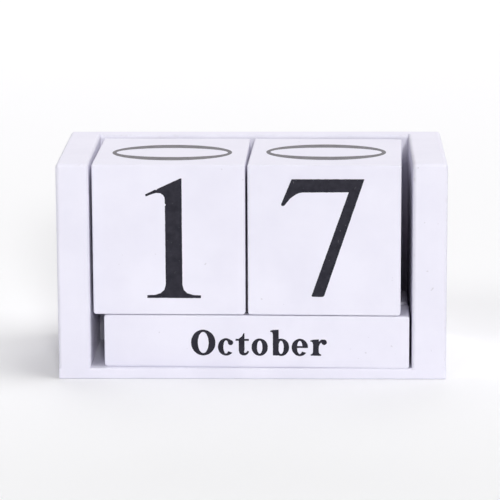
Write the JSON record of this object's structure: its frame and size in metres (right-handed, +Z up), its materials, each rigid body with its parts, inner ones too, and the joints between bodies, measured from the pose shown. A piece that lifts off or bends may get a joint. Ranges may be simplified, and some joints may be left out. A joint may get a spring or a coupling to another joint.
{
  "type": "perpetual desk calendar",
  "caption": "White painted wooden block calendar: an open-fronted tray with loose date cubes standing on loose square month bars.",
  "frame": {"origin": "centre of the tray's underside, on the surface that it stands on", "axes": "+X to the right as the calendar is read, +Y to the back board, +Z up"},
  "size_m": [0.1274, 0.0634, 0.0719],
  "materials": {
    "painted_wood": "satin white paint over sanded wood",
    "printed_ink": "charcoal ink printed on the paint",
    "pin_steel": "bright drawn steel wire"
  },
  "bodies": {
    "tray": {"base_board": "painted_wood", "left_side_board": "painted_wood", "right_side_board": "painted_wood", "back_board": "painted_wood", "base_pins_left": "pin_steel", "base_pins_right": "pin_steel", "base_pins_back": "pin_steel", "side_pins_left": "pin_steel", "side_pins_right": "pin_steel"},
    "left_cube": {"left_date_cube": "painted_wood"},
    "right_cube": {"right_date_cube": "painted_wood"},
    "front_bar": {"front_month_bar": "painted_wood"},
    "middle_bar": {"middle_month_bar": "painted_wood"},
    "rear_bar": {"rear_month_bar": "painted_wood"}
  },
  "joints": [
    {"name": "left_cube_lift", "type": "slide", "parent": "tray", "child": "left_cube", "axis": [0, 0, 1], "range_m": [0, 0.055]},
    {"name": "right_cube_lift", "type": "slide", "parent": "tray", "child": "right_cube", "axis": [0, 0, 1], "range_m": [0, 0.055]},
    {"name": "front_bar_draw", "type": "slide", "parent": "tray", "child": "front_bar", "axis": [0, -1, 0], "range_m": [0, 0.08]},
    {"name": "middle_bar_draw", "type": "slide", "parent": "tray", "child": "middle_bar", "axis": [0, -1, 0], "range_m": [0, 0.068]},
    {"name": "rear_bar_draw", "type": "slide", "parent": "tray", "child": "rear_bar", "axis": [0, -1, 0], "range_m": [0, 0.058]}
  ],
  "couplings": [
    {"joint": "middle_bar_draw", "follows": "front_bar_draw", "ratio": 0.85},
    {"joint": "rear_bar_draw", "follows": "front_bar_draw", "ratio": 0.725}
  ]
}
